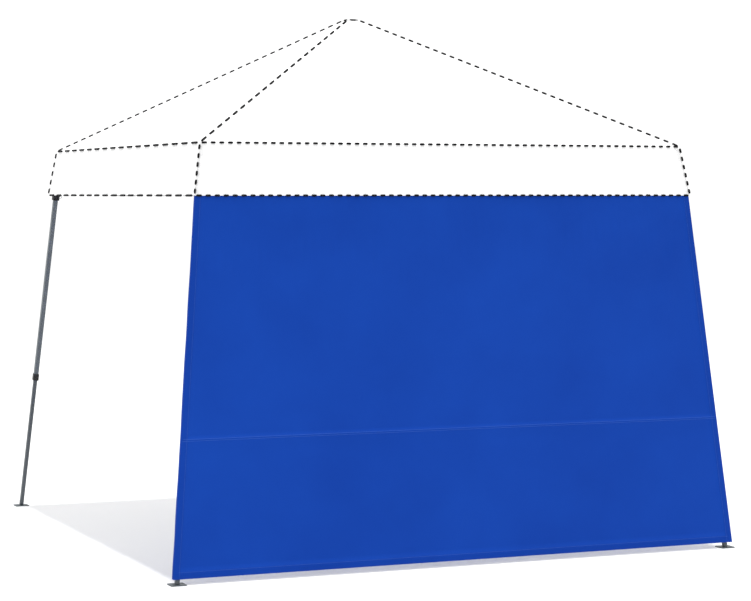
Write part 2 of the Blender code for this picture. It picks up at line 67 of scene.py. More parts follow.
# %% [markdown]
# ## The camera
# The camera stands a good twelve metres away, a little to the left of the wall, at about the
# height of a tall person's eyes. A long lens keeps the upright edges nearly parallel. The camera
# is an ordinary one, aimed by three angles: how far it turns, tilts and rolls.

# %% Camera
CAMERA_PLACE = (-4.874, -11.947, 1.874)
CAMERA_TURN = math.radians(22.81)
CAMERA_TILT = math.radians(-2.66)
CAMERA_LENS = 109.7

bpy.ops.object.camera_add(location=CAMERA_PLACE,
                          rotation=(math.pi / 2.0 + CAMERA_TILT, 0.0, -CAMERA_TURN))
camera = bpy.context.active_object
camera.data.lens = CAMERA_LENS
camera.data.sensor_width = 36.0
camera.data.clip_end = 200.0
bpy.context.scene.camera = camera

# %% [markdown]
# ## A small kit for materials
# Every finish is a Principled shader with a few texture nodes in front of it. These helpers add a
# node, link it, and set its values, so that each recipe below reads as a short list.


# %% Helpers for materials
def new_material(name, roughness, metallic=0.0, specular=0.5):
    """A node material with its shader, and a place on the piece to read patterns from."""
    material = bpy.data.materials.new(name)
    material.use_nodes = True
    tree = material.node_tree
    shader = tree.nodes["Principled BSDF"]
    shader.inputs["Roughness"].default_value = roughness
    shader.inputs["Metallic"].default_value = metallic
    shader.inputs["Specular IOR Level"].default_value = specular
    place = tree.nodes.new("ShaderNodeTexCoord")
    return material, tree, shader, place.outputs["Object"]


def add(tree, kind, links=None, **values):
    """Add a node, link its inputs by name or number, and set its own properties."""
    node = tree.nodes.new("ShaderNode" + kind)
    for name, value in values.items():
        setattr(node, name, value)
    for socket, source in (links or {}).items():
        if isinstance(source, bpy.types.NodeSocket):
            tree.links.new(source, node.inputs[socket])
        else:
            node.inputs[socket].default_value = source
    return node


def math_node(tree, operation, first, second=0.0):
    """One sum on two values or sockets."""
    return add(tree, "Math", {0: first, 1: second}, operation=operation).outputs[0]


def mix_colours(tree, share, first, second):
    """Blend two colours or colour sockets."""
    node = add(tree, "Mix", data_type="RGBA")
    for socket, source in zip((0, 6, 7), (share, first, second)):
        if isinstance(source, bpy.types.NodeSocket):
            tree.links.new(source, node.inputs[socket])
        else:
            node.inputs[socket].default_value = source
    return node.outputs[2]


def cloud(tree, place, scale, detail=3.0, low=0.35, high=0.65):
    """Soft patches from 0 to 1."""
    texture = add(tree, "TexNoise", {"Vector": place, "Scale": scale, "Detail": detail})
    spread = add(tree, "MapRange", {0: texture.outputs["Fac"], 1: low, 2: high})
    return spread.outputs[0]


def bump(tree, shader, height, distance, strength=1.0):
    """Send a height to the shader's normal."""
    node = add(tree, "Bump", {"Height": height, "Distance": distance, "Strength": strength})
    tree.links.new(node.outputs["Normal"], shader.inputs["Normal"])


def rgba(red, green, blue):
    """A colour with full cover."""
    return (red, green, blue, 1.0)


# %% [markdown]
# ## Steel and plastic
# The tubes are steel with a grey powder coat: a fine orange-peel bump, slightly uneven gloss and a
# little brightness where the coat has rubbed thin. The lower tubes are darker, and the foot plates
# darker still. The brackets are black nylon with the fine grain of a mould, and the small rings on
# the slider pins are bare zinc wire.


# %% Hard finishes
def powder_coat(name, colour, worn, roughness):
    """Powder coat over steel."""
    material, tree, shader, place = new_material(name, roughness, metallic=0.35, specular=0.4)
    patches = cloud(tree, place, 9.0, 5.0, 0.52, 0.78)
    fine = cloud(tree, place, 160.0, 2.0, 0.45, 0.75)
    rubbed = math_node(tree, "MULTIPLY", patches, fine)
    tree.links.new(mix_colours(tree, rubbed, rgba(*colour), rgba(*worn)), shader.inputs["Base Color"])
    gloss = math_node(tree, "MULTIPLY", cloud(tree, place, 14.0), 0.16)
    tree.links.new(math_node(tree, "ADD", gloss, roughness - 0.06), shader.inputs["Roughness"])
    peel = add(tree, "TexNoise", {"Vector": place, "Scale": 900.0, "Detail": 1.0})
    bump(tree, shader, peel.outputs["Fac"], 0.00012, 0.6)
    return material


def zinc(name):
    """Galvanised wire, with the flakes that zinc leaves."""
    material, tree, shader, place = new_material(name, 0.42, metallic=0.9)
    flakes = add(tree, "TexVoronoi", {"Vector": place, "Scale": 160.0})
    shade = math_node(tree, "MULTIPLY", flakes.outputs["Distance"], 1.4)
    colour = mix_colours(tree, shade, rgba(0.40, 0.41, 0.40), rgba(0.60, 0.60, 0.59))
    grime = cloud(tree, place, 30.0, 5.0, 0.45, 0.8)
    tree.links.new(mix_colours(tree, grime, colour, rgba(0.26, 0.25, 0.23)), shader.inputs["Base Color"])
    bump(tree, shader, flakes.outputs["Distance"], 0.0001, 0.5)
    return material


def moulded(name, colour, dusty, roughness):
    """Moulded nylon with a fine grain and a trace of dust."""
    material, tree, shader, place = new_material(name, roughness, specular=0.35)
    dust = cloud(tree, place, 22.0, 4.0, 0.45, 0.85)
    tree.links.new(mix_colours(tree, dust, rgba(*colour), rgba(*dusty)), shader.inputs["Base Color"])
    grain = add(tree, "TexVoronoi", {"Vector": place, "Scale": 1400.0})
    bump(tree, shader, grain.outputs["Distance"], 0.00015, 0.7)
    return material


upper_steel = powder_coat("upper_leg_powder_coat", (0.155, 0.175, 0.188), (0.30, 0.33, 0.35), 0.46)
lower_steel = powder_coat("lower_leg_powder_coat", (0.105, 0.118, 0.128), (0.22, 0.24, 0.25), 0.44)
truss_steel = powder_coat("truss_powder_coat", (0.150, 0.168, 0.180), (0.30, 0.32, 0.34), 0.48)
plate_steel = powder_coat("foot_plate_powder_coat", (0.070, 0.086, 0.096), (0.20, 0.21, 0.21), 0.50)
ring_zinc = zinc("pull_ring_zinc")
black_nylon = moulded("black_nylon", (0.010, 0.010, 0.011), (0.035, 0.034, 0.033), 0.48)
grey_nylon = moulded("grey_nylon", (0.27, 0.28, 0.29), (0.36, 0.36, 0.35), 0.42)

FINISHES = (
    ("upper_leg", upper_steel), ("lower_leg", lower_steel), ("foot_plate", plate_steel),
    ("leg_collar", black_nylon), ("top_bracket", black_nylon), ("slider_pin", grey_nylon),
    ("slider_", black_nylon), ("collar_button", grey_nylon), ("rafter", truss_steel),
    ("roof_hub", black_nylon), ("peak_post", grey_nylon),
)


def finish_of(node):
    """The finish of a frame piece, by its name."""
    if node.endswith("_bar"):
        return truss_steel
    for start, material in FINISHES:
        if node.startswith(start):
            return material
    return None


for node, piece in frame["nodes"].items():
    finish = finish_of(node)
    if finish is not None:
        piece.data.materials.clear()
        piece.data.materials.append(finish)
print(len(frame["nodes"]), "frame pieces have their finish")

# %% [markdown]
# ## Cloth
# Canopy cloth is a plain weave of polyester with a thin coating behind. Up close it shows threads
# crossing over and under, about half a millimetre apart. A weave is two wave textures at right
# angles. Patches of slightly different blue and a soft unevenness keep a big wall from looking flat.


# %% Woven polyester
THREAD = 0.0006


def woven(name, colour, darker, roughness, specular, sheen):
    """Plain-woven polyester."""
    material, tree, shader, place = new_material(name, roughness, specular=specular)
    shader.inputs["Sheen Weight"].default_value = sheen
    shader.inputs["Sheen Roughness"].default_value = 0.5
    split = add(tree, "SeparateXYZ", {0: place})
    turns = 2.0 * math.pi / (2.0 * THREAD)
    across = math_node(tree, "ADD", split.outputs[0], split.outputs[1])
    warp = math_node(tree, "SINE", math_node(tree, "MULTIPLY", across, turns))
    weft = math_node(tree, "SINE", math_node(tree, "MULTIPLY", split.outputs[2], turns))
    threads = math_node(tree, "MULTIPLY", warp, weft)
    soft = add(tree, "TexNoise", {"Vector": place, "Scale": 2.2, "Detail": 4.0, "Roughness": 0.55})
    patches = add(tree, "MapRange", {0: soft.outputs["Fac"], 1: 0.3, 2: 0.7})
    base = mix_colours(tree, patches.outputs[0], rgba(*darker), rgba(*colour))
    lifted = add(tree, "MapRange", {0: threads, 1: -1.0, 2: 1.0, 3: 0.0, 4: 0.12})
    tree.links.new(mix_colours(tree, lifted.outputs[0], base, rgba(*darker)), shader.inputs["Base Color"])
    crumple = add(tree, "TexNoise", {"Vector": place, "Scale": 26.0, "Detail": 3.0})
    height = math_node(tree, "ADD", math_node(tree, "MULTIPLY", threads, 0.06), crumple.outputs["Fac"])
    bump(tree, shader, height, 0.0011, 0.5)
    return material


wall_cloth = woven("blue_wall_polyester", (0.0038, 0.0515, 0.3660), (0.0027, 0.0437, 0.3290),
                   0.66, 0.08, 0.015)
hem_cloth = woven("blue_hem_polyester", (0.0033, 0.0450, 0.3380), (0.0024, 0.0387, 0.3010),
                  0.66, 0.08, 0.015)
cover_cloth = woven("white_cover_polyester", (0.94, 0.94, 0.94), (0.91, 0.91, 0.91), 0.75, 0.2, 0.05)

# %% [markdown]
# ## The side wall
# The wall is one trapezoid of blue cloth: as wide as the valance at the top and as wide as the feet
# at the bottom, folded over and stitched all round, with one lapped seam a third of the way up. It
# could be cut from a plane and draped by a simulation, but a stretched wall hardly moves. So a grid
# is laid out with extra lines where the folds of the hem lie, and its points are moved by a few
# soft wrinkles: long ones that pull from the corners, and short gathers along the top. Past each
# side edge the sheet goes on as a narrow flap, which turns back along the outside of the leg.

# %% Where the wall hangs
wall_low, wall_high = (Vector(c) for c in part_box("side_wall"))
wall_points = np.array([v.co for v in frame["nodes"]["side_wall"].data.vertices])
top_points = wall_points[wall_points[:, 2] > wall_high.z - 0.001]
WALL_TOP_HALF = float(top_points[:, 0].max())
WALL_TOP_Y = float(top_points[:, 1].min())
WALL_FOOT_HALF = wall_high.x
WALL_FOOT_Y = wall_low.y
WALL_SIDE_HEM = 0.034
WALL_FOOT_HEM = 0.036
FLAP_DEPTH = 0.030
FLAP_BEND = 0.004
WALL_SEAM_Z = 0.690
WALL_SEAM_WIDTH = 0.014
HEM_RISE = 0.0011
CLOTH_THICKNESS = 0.0007
GRID_STEP = 0.020
FOLD_SOFT = 0.0006
wall_height = wall_high.z - wall_low.z
print("wall", round(2 * WALL_TOP_HALF, 3), "to", round(2 * WALL_FOOT_HALF, 3), "by", round(wall_height, 3))


# %% Grid lines
def lines_between(low, high, step, folds):
    """Evenly spread lines from low to high, with a close pair at every fold."""
    count = max(2, int(round((high - low) / step)))
    lines = [low + (high - low) * i / count for i in range(count + 1)]
    lines = [x for x in lines if all(abs(x - fold) > 0.4 * step for fold in folds) or x in (low, high)]
    for fold in folds:
        lines += [fold - FOLD_SOFT, fold + FOLD_SOFT]
    return sorted(lines)


def smooth_step(value, low, high):
    """0 below low, 1 above high, smooth between."""
    share = min(1.0, max(0.0, (value - low) / (high - low)))
    return share * share * (3.0 - 2.0 * share)


def within(distance, width):
    """1 where the cloth is doubled, up to width, and 0 past its fold."""
    return 1.0 - smooth_step(distance, width - FOLD_SOFT, width + FOLD_SOFT)


# %% Wrinkles of a stretched wall
BROAD_WAVE = 0.0055
MIDDLE_WAVE = 0.0022
FINE_WAVE = 0.0006
CORNER_PULL = 0.0016
GATHER = 0.0011
BELLY = 0.004


def wall_wrinkle(x, z, half):
    """How far the cloth stands out from the flat wall, in metres."""
    up = z / wall_high.z
    side = x / half
    inside = min(1.0, (1.0 - abs(side)) * 9.0) * min(1.0, up * 9.0 + 0.1)
    broad = noise.noise(Vector((x * 1.1, z * 1.5, 3.0))) * BROAD_WAVE
    middle = noise.noise(Vector((x * 3.6 + z * 1.2, z * 3.2, 8.0))) * MIDDLE_WAVE
    fine = noise.noise(Vector((x * 13.0, z * 9.0, 5.0))) * FINE_WAVE
    pull = 0.0
    for corner in (-1.0, 1.0):
        along = math.hypot((side - corner) * half, wall_high.z - z)
        angle = math.atan2(wall_high.z - z, abs(side - corner) * half + 0.01)
        pull += math.sin(angle * 17.0) * math.exp(-((along - 0.45) / 0.40) ** 2) * CORNER_PULL
    gather_depth = math.exp(-(wall_high.z - z) / 0.16)
    drift = 2.0 * noise.noise(Vector((x * 4.0, 0.0, 0.0)))
    gathers = math.sin(x * 61.0 + drift) * GATHER * gather_depth
    belly = math.sin(math.pi * min(1.0, max(0.0, up))) * math.cos(side * math.pi / 2.0) * BELLY
    return (broad + middle + fine + pull) * inside + gathers + belly


# %% Wall sheet
def sheet_grid(name, across, upward, place):
    """A grid with one point at each crossing of the lines, set where place(i, j) says."""
    bpy.ops.mesh.primitive_grid_add(x_subdivisions=len(across) - 1, y_subdivisions=len(upward) - 1,
                                    size=2.0)
    sheet = bpy.context.active_object
    sheet.name = name
    columns, rows = len(across), len(upward)
    for vertex in sheet.data.vertices:
        i = int(round((vertex.co.x + 1.0) / 2.0 * (columns - 1)))
        j = int(round((vertex.co.y + 1.0) / 2.0 * (rows - 1)))
        vertex.co = place(across[i], upward[j])
    sheet.data.update()
    return sheet


heights = lines_between(wall_low.z, wall_high.z, GRID_STEP,
                        [wall_low.z + WALL_FOOT_HEM, WALL_SEAM_Z - WALL_SEAM_WIDTH / 2.0,
                         WALL_SEAM_Z + WALL_SEAM_WIDTH / 2.0])
widths = lines_between(-1.0, 1.0, GRID_STEP / WALL_FOOT_HALF,
                       [-1.0 + WALL_SIDE_HEM / WALL_FOOT_HALF, 1.0 - WALL_SIDE_HEM / WALL_FOOT_HALF])
flap_lines = [1.0 + FLAP_DEPTH * step / WALL_FOOT_HALF for step in (0.04, 0.08, 0.12, 0.20, 0.45, 0.75, 1.0)]
widths = [-line for line in reversed(flap_lines)] + widths + flap_lines
wall_slope = (WALL_TOP_Y - WALL_FOOT_Y) / wall_height
wall_out = Vector((0.0, -1.0, wall_slope)).normalized()


def round_the_corner(reach):
    """Where the cloth gets to past the wall's edge: how far outwards and how far back."""
    turn = min(reach / FLAP_BEND, math.pi / 2.0)
    straight = max(0.0, reach - FLAP_BEND * math.pi / 2.0)
    return FLAP_BEND * math.sin(turn) - FLAP_BEND, FLAP_BEND * (1.0 - math.cos(turn)) + straight


def wall_point(side, z):
    """A point of the wall, from its share of the half width and its height. Past 1 is the flap."""
    up = (z - wall_low.z) / wall_height
    half = WALL_FOOT_HALF + (WALL_TOP_HALF - WALL_FOOT_HALF) * up
    reach = max(0.0, abs(side) - 1.0) * WALL_FOOT_HALF
    side = min(1.0, max(-1.0, side))
    out, back = round_the_corner(reach)
    x = side * half + math.copysign(out, side) * smooth_step(abs(side), 0.95, 1.0)
    flat = Vector((x, WALL_FOOT_Y + (WALL_TOP_Y - WALL_FOOT_Y) * up + back, z))
    rise = wall_wrinkle(side * half, z, half)
    if reach > 0.0:
        flap = noise.noise(Vector((side * 5.0, z * 6.0, reach * 20.0))) * 0.0016 * reach / FLAP_DEPTH
        return flat + wall_out * (rise + HEM_RISE) + Vector((flap, 0.0, 0.0))
    edge = (1.0 - abs(side)) * WALL_FOOT_HALF
    doubled = max(within(edge, WALL_SIDE_HEM), within(z - wall_low.z, WALL_FOOT_HEM),
                  within(abs(z - WALL_SEAM_Z), WALL_SEAM_WIDTH / 2.0))
    return flat + wall_out * (rise + HEM_RISE * doubled)


wall = sheet_grid("blue_side_wall", widths, heights, wall_point)
print("wall grid", len(widths), "x", len(heights))

# %% [markdown]
# The flat grid gets its thickness from a Solidify modifier, and smooth shading hides the grid.

# %% Thickness of the wall
def thicken(sheet, thickness, offset):
    """Give a sheet its thickness, applied to the mesh, with smooth shading."""
    bpy.ops.object.select_all(action="DESELECT")
    sheet.select_set(True)
    bpy.context.view_layer.objects.active = sheet
    solidify = sheet.modifiers.new("thickness", "SOLIDIFY")
    solidify.thickness = thickness
    solidify.offset = offset
    bpy.ops.object.modifier_apply(modifier=solidify.name)
    bpy.ops.object.shade_smooth_by_angle(angle=math.radians(50.0))


def face_outwards(sheet, direction):
    """Turn a sheet's faces over if they look against a direction."""
    middle = sheet.data.polygons[len(sheet.data.polygons) // 2].normal
    if middle.dot(direction) < 0.0:
        sheet.data.flip_normals()


face_outwards(wall, wall_out)
thicken(wall, CLOTH_THICKNESS, -1.0)
wall.data.materials.clear()
wall.data.materials.append(wall_cloth)
wall.data.materials.append(hem_cloth)
for face in wall.data.polygons:
    centre = face.center
    half = WALL_FOOT_HALF + (WALL_TOP_HALF - WALL_FOOT_HALF) * (centre.z - wall_low.z) / wall_height
    if half - abs(centre.x) < WALL_SIDE_HEM or centre.z < wall_low.z + WALL_FOOT_HEM:
        face.material_index = 1
print("wall faces", len(wall.data.polygons))

# %% [markdown]
# ## Stitches
# The seam and the hems are held by rows of thread. A row is a hair-thin tube laid on the cloth, and
# its own map, in metres, lets the finish dip the thread into the cloth between two stitches.

# %% Thread
THREAD_RADIUS = 0.0008
STITCH_LENGTH = 0.0045


def stitch_thread(name, colour, dipped):
    """Sewing thread, with a gap of cloth between the stitches."""
    material, tree, shader, place = new_material(name, 0.5, specular=0.3)
    tree.nodes.remove(tree.nodes["Texture Coordinate"])
    split = add(tree, "SeparateXYZ", {0: add(tree, "UVMap", uv_map="length").outputs[0]})
    part = math_node(tree, "FRACT", math_node(tree, "DIVIDE", split.outputs[0], STITCH_LENGTH))
    dip = add(tree, "MapRange", {0: part, 1: 0.72, 2: 0.80})
    tree.links.new(mix_colours(tree, dip.outputs[0], rgba(*colour), rgba(*dipped)),
                   shader.inputs["Base Color"])
    ply = math_node(tree, "SINE", math_node(tree, "MULTIPLY", part, 6.0 * math.pi))
    bump(tree, shader, ply, 0.0002, 0.5)
    return material


blue_thread = stitch_thread("blue_thread", (0.028, 0.112, 0.500), (0.004, 0.045, 0.33))
white_thread = stitch_thread("white_thread", (0.80, 0.80, 0.80), (0.88, 0.88, 0.88))


def tube(bm, points, radii, sides, start=0.0, slot=0):
    """A closed tube through points, a radius at each, with its length in metres in its map."""
    uv = bm.loops.layers.uv.get("length") or bm.loops.layers.uv.new("length")
    rings, lengths, travelled = [], [], start
    for index, (point, radius) in enumerate(zip(points, radii)):
        before, after = points[max(index - 1, 0)], points[min(index + 1, len(points) - 1)]
        along = (after - before).normalized()
        across = along.cross(Vector((0.13, 0.29, 0.95))).normalized()
        over = across.cross(along)
        turns_round = [2.0 * math.pi * k / sides for k in range(sides)]
        rings.append([bm.verts.new(point + radius * (math.cos(a) * across + math.sin(a) * over))
                      for a in turns_round])
        travelled += (point - points[index - 1]).length if index else 0.0
        lengths.append(travelled)
    for number, (low, high) in enumerate(zip(rings, rings[1:])):
        for k in range(sides):
            face = bm.faces.new((low[k], low[(k + 1) % sides], high[(k + 1) % sides], high[k]))
            face.smooth = True
            face.material_index = slot
            for loop, end, step in zip(face.loops, (0, 0, 1, 1), (k, k + 1, k + 1, k)):
                loop[uv].uv = (lengths[number + end], step / sides)
    for ring, length in ((rings[0], lengths[0]), (rings[-1], lengths[-1])):
        face = bm.faces.new(ring)
        face.material_index = slot
        for loop in face.loops:
            loop[uv].uv = (length, 0.0)


def piece_from(bm, name, materials):
    """Close a bmesh into a piece of the scene."""
    bmesh.ops.recalc_face_normals(bm, faces=bm.faces)
    mesh = bpy.data.meshes.new(name)
    bm.to_mesh(mesh)
    bm.free()
    for material in materials:
        mesh.materials.append(material)
    piece = bpy.data.objects.new(name, mesh)
    bpy.context.scene.collection.objects.link(piece)
    return piece


def steps(low, high, count):
    """Evenly spread values from low to high."""
    return [low + (high - low) * i / count for i in range(count + 1)]


# %% Rows of the wall
SEAM_ROW_OFFSET = 0.0042
HEM_ROW_INSET = 0.004
HEM_THREAD = 0.7
ACROSS_POINTS = 150
UPWARD_POINTS = 95
seam_bm = bmesh.new()
for offset in (-SEAM_ROW_OFFSET, SEAM_ROW_OFFSET):
    row = [wall_point(side, WALL_SEAM_Z + offset) for side in steps(-0.995, 0.995, ACROSS_POINTS)]
    tube(seam_bm, row, [THREAD_RADIUS] * len(row), 5)
wall_seam = piece_from(seam_bm, "wall_seam_stitches", [blue_thread])

hem_bm = bmesh.new()
foot_row_z = wall_low.z + WALL_FOOT_HEM - HEM_ROW_INSET
row = [wall_point(side, foot_row_z) for side in steps(-0.985, 0.985, ACROSS_POINTS)]
tube(hem_bm, row, [THREAD_RADIUS * HEM_THREAD] * len(row), 5)
for side in (-1.0, 1.0):
    inner = side * (1.0 - (WALL_SIDE_HEM - HEM_ROW_INSET) / WALL_FOOT_HALF)
    row = [wall_point(inner, z) for z in steps(wall_low.z + 0.01, wall_high.z - 0.01, UPWARD_POINTS)]
    tube(hem_bm, row, [THREAD_RADIUS * HEM_THREAD] * len(row), 5)
wall_hem = piece_from(hem_bm, "wall_hem_stitches", [blue_thread])

# %% [markdown]
# ## Straps
# Three straps on each side hold the wall to its leg. A strap is a band of black webbing sewn behind
# the flap, wrapped round the square tube, and closed on itself with a hooked tail.


# %% Webbing
def webbing(name):
    """Narrow-woven strap with ribs along its length."""
    material, tree, shader, place = new_material(name, 0.78, specular=0.15)
    split = add(tree, "SeparateXYZ", {0: place})
    ribs = math_node(tree, "SINE", math_node(tree, "MULTIPLY", split.outputs[2], 2.0 * math.pi / 0.0022))
    weave = add(tree, "TexNoise", {"Vector": place, "Scale": 700.0, "Detail": 1.0})
    lint = cloud(tree, place, 40.0, 4.0, 0.5, 0.8)
    tree.links.new(mix_colours(tree, lint, rgba(0.012, 0.012, 0.013), rgba(0.045, 0.045, 0.048)),
                   shader.inputs["Base Color"])
    bump(tree, shader, math_node(tree, "ADD", ribs, weave.outputs["Fac"]), 0.0004, 0.6)
    return material


STRAP_WIDTH = 0.025
STRAP_THICK = 0.0014
STRAP_GAP = 0.0012
STRAP_BEND = 0.003
STRAP_TAIL = 0.034
TAIL_START = 0.0004
TAIL_LIFT = 1.3 * STRAP_THICK
TAIL_RISE = 0.001
LOWER_TUBE_HALF = 0.01075
UPPER_TUBE_HALF = 0.0130
STRAP_PLACES = ((0.34, LOWER_TUBE_HALF), (1.02, UPPER_TUBE_HALF), (1.62, UPPER_TUBE_HALF))
strap_webbing = webbing("black_webbing")


def leg_middle(corner, z):
    """The leg's axis at a height, from the foot plate and the lean of the leg's extension joint."""
    foot_low, foot_high = (Vector(c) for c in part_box(f"foot_plate_{corner}"))
    foot = (foot_low + foot_high) / 2.0
    lean = Vector(joints[f"leg_extension_{corner}"]["axis"])
    return Vector((foot.x, foot.y, 0.0)) + lean * (z / lean.z)


def strap_path(half):
    """The strap's inner line, in the plane square to the leg: round the tube, then the tail."""
    inner = half + STRAP_GAP
    centre = inner - STRAP_BEND
    path = []
    for number, (sx, sy) in enumerate(((1, 1), (-1, 1), (-1, -1), (1, -1))):
        for i in range(4):
            angle = math.pi / 2.0 * (number + i / 3.0)
            path.append((centre * sx + STRAP_BEND * math.cos(angle),
                         centre * sy + STRAP_BEND * math.sin(angle)))
    path.append((inner + TAIL_START, centre))
    path.append((centre, inner + TAIL_LIFT))
    path.append((centre - STRAP_TAIL / 2.0, inner + TAIL_RISE + TAIL_LIFT))
    return path


def make_strap(name, corner, z, half):
    """A band round a leg, in the plane square to it, with a tail that overlaps itself."""
    up = Vector(joints[f"leg_extension_{corner}"]["axis"]).normalized()
    middle = leg_middle(corner, z)
    across = (Vector((1.0, 0.0, 0.0)) - up * up.x).normalized()
    deep = up.cross(across)
    path = strap_path(half)
    bm = bmesh.new()
    rings = []
    for index, (x, y) in enumerate(path):
        before, after = Vector(path[max(index - 1, 0)]), Vector(path[min(index + 1, len(path) - 1)])
        run = (after - before).normalized()
        normal = Vector((run.y, -run.x))
        ring = []
        for depth, height in ((0.0, -0.5), (1.0, -0.5), (1.0, 0.5), (0.0, 0.5)):
            flat = Vector((x, y)) + normal * depth * STRAP_THICK
            ring.append(bm.verts.new(middle + across * flat.x + deep * flat.y + up * height * STRAP_WIDTH))
        rings.append(ring)
    for low, high in zip(rings, rings[1:]):
        for k in range(4):
            bm.faces.new((low[k], low[(k + 1) % 4], high[(k + 1) % 4], high[k]))
    bm.faces.new(rings[0])
    bm.faces.new(rings[-1])
    return piece_from(bm, name, [strap_webbing])


straps = []
for corner in ("front_left", "front_right"):
    for number, (z, half) in enumerate(STRAP_PLACES):
        strap = make_strap(f"leg_strap_{corner}_{number + 1}", corner, z, half)
        straps.append((strap, f"leg_{corner}"))
print(len(straps), "straps")

# %% [markdown]
# ## Pull rings
# Each slider's spring pin is pulled out by a small split ring through its knob. A torus is the plain
# way to make it, with a second, smaller turn beside the first for the split.

# %% Rings
RING_RADIUS = 0.010
RING_WIRE = 0.0011
RING_INSET = 0.0025
RING_HANG = 0.62
RING_TWIST = math.radians(14.0)
TURN_SHIFT = 0.6
TURN_SHRINK = 0.0004
rings_made = []
for corner in CORNERS:
    pin_low, pin_high = (Vector(c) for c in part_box(f"slider_pin_{corner}"))
    pull = Vector(joints[f"slider_pin_pull_{corner}"]["axis"])
    middle = (pin_low + pin_high) / 2.0
    reach = abs((pin_high - pin_low).dot(Vector((abs(pull.x), abs(pull.y), 0.0)))) / 2.0
    knob_end = middle + pull * (reach - RING_INSET)
    spot = knob_end + Vector((0.0, 0.0, -RING_RADIUS * RING_HANG))
    turn = (math.pi / 2.0, 0.0, math.atan2(pull.y, pull.x) + RING_TWIST)
    for number, shift in enumerate((-TURN_SHIFT, TURN_SHIFT)):
        beside = Vector((-pull.y, pull.x, 0.0)) * RING_WIRE * shift
        bpy.ops.mesh.primitive_torus_add(major_radius=RING_RADIUS - TURN_SHRINK * number,
                                         minor_radius=RING_WIRE, major_segments=28, minor_segments=8,
                                         location=spot + beside, rotation=turn)
        ring = bpy.context.active_object
        ring.name = f"pin_ring_{corner}_{number + 1}"
        bpy.ops.object.transform_apply(location=True, rotation=True, scale=True)
        bpy.ops.object.shade_smooth()
        ring.data.materials.append(ring_zinc)
        rings_made.append((ring, f"slider_pin_{corner}"))
print(len(rings_made), "ring turns")

# %% [markdown]
# ## The cover
# The cover is a pyramid of white cloth with a small flat on top, and a valance that flares out a
# little. Its four panels are sewn along the ridges and pull slightly hollow between them, as any
# stretched tent does. One panel is made as a grid that narrows to the peak, and is turned three
# times about the middle. The cover is parted into narrow gores from peak to hem. They meet edge to
# edge when the canopy is open.

# %% Sizes of the cover
cover_points = np.array([v.co for v in frame["nodes"]["canopy_top"].data.vertices])
HEM_Z = float(cover_points[:, 2].min())
PEAK_Z = float(cover_points[:, 2].max())
HEM_HALF = float(cover_points[:, 0].max())
peak_points = cover_points[cover_points[:, 2] > PEAK_Z - 0.0005]
PEAK_HALF = float(peak_points[:, 0].max())
inner_band = (cover_points[:, 2] > HEM_Z + 0.05) & (cover_points[:, 2] < PEAK_Z - 0.05)
eave_points = cover_points[inner_band]
EAVE_HALF = float(eave_points[:, 0].max())
EAVE_Z = float(eave_points[:, 2].max())
PLEATS_PER_SIDE = 6
COLUMNS_PER_PLEAT = 10
ROOF_ROWS = 34
VALANCE_ROWS = 9
ROOF_HOLLOW = 0.024
ROOF_SOFT = 0.0030
VALANCE_WAVE = 0.0022
VALANCE_SOFT = 0.0020
print("eave", round(EAVE_HALF, 3), round(EAVE_Z, 3), "hem", round(HEM_HALF, 3), round(HEM_Z, 3))


# %% Shape of one panel
def cover_point(share, row):
    """A point of the front panel: share 0 to 1 along the eave, row counted down from the peak."""
    side = 2.0 * share - 1.0
    if row <= ROOF_ROWS:
        down = row / ROOF_ROWS
        half = PEAK_HALF + (EAVE_HALF - PEAK_HALF) * down
        z = PEAK_Z + (EAVE_Z - PEAK_Z) * down
        hollow = math.sin(math.pi * down) * math.cos(side * math.pi / 2.0) ** 1.5
        x = side * half
        soft = noise.noise(Vector((x * 2.4, half * 3.0, 1.0))) * ROOF_SOFT * hollow
        return Vector((x, -half, z - ROOF_HOLLOW * hollow + soft))
    down = (row - ROOF_ROWS) / VALANCE_ROWS
    half = EAVE_HALF + (HEM_HALF - EAVE_HALF) * down
    x = side * half
    calm = math.cos(side * math.pi / 2.0) ** 0.7 if abs(side) < 1.0 else 0.0
    wave = math.sin(x * 9.0 + 1.0) * VALANCE_WAVE
    wave += noise.noise(Vector((x * 5.0, down, 4.0))) * VALANCE_SOFT
    return Vector((x, -half + wave * down * calm, EAVE_Z + (HEM_Z - EAVE_Z) * down))


columns = PLEATS_PER_SIDE * COLUMNS_PER_PLEAT
rows = ROOF_ROWS + VALANCE_ROWS


# %% Gores
def gore_columns(pleat):
    """Column numbers that a gore covers. Gore 0 of a side lies on its left corner."""
    half = COLUMNS_PER_PLEAT // 2
    start = pleat * COLUMNS_PER_PLEAT - half
    return range(start, start + COLUMNS_PER_PLEAT + 1)


def turned_point(column, row, turns):
    """A point of the cover, by its column counted round from the front left corner."""
    extra, column = divmod(column, columns)
    point = cover_point(column / columns, row)
    return Matrix.Rotation((turns + extra) * math.pi / 2.0, 3, "Z") @ point


def surface_normal(column, row, turns):
    """Outward normal of the cover at a grid point, from its neighbours on the same panel."""
    if column % columns == 0:
        sides = []
        for step in (-1, 1):
            along = (turned_point(column + step, row, turns) - turned_point(column, row, turns)) * step
            near = row + 1 if row < rows else row - 1
            down = turned_point(column, near, turns) - turned_point(column, row, turns)
            down = down if near > row else -down
            sides.append(down.cross(along).normalized())
        return (sides[0] + sides[1]).normalized()
    along = turned_point(column + 1, row, turns) - turned_point(column - 1, row, turns)
    low = min(row + 1, rows)
    high = max(row - 1, 0)
    if row == ROOF_ROWS:
        first = turned_point(column, row, turns) - turned_point(column, row - 1, turns)
        second = turned_point(column, row + 1, turns) - turned_point(column, row, turns)
        return (first.normalized().cross(along) + second.normalized().cross(along)).normalized()
    down = turned_point(column, low, turns) - turned_point(column, high, turns)
    return down.cross(along).normalized()


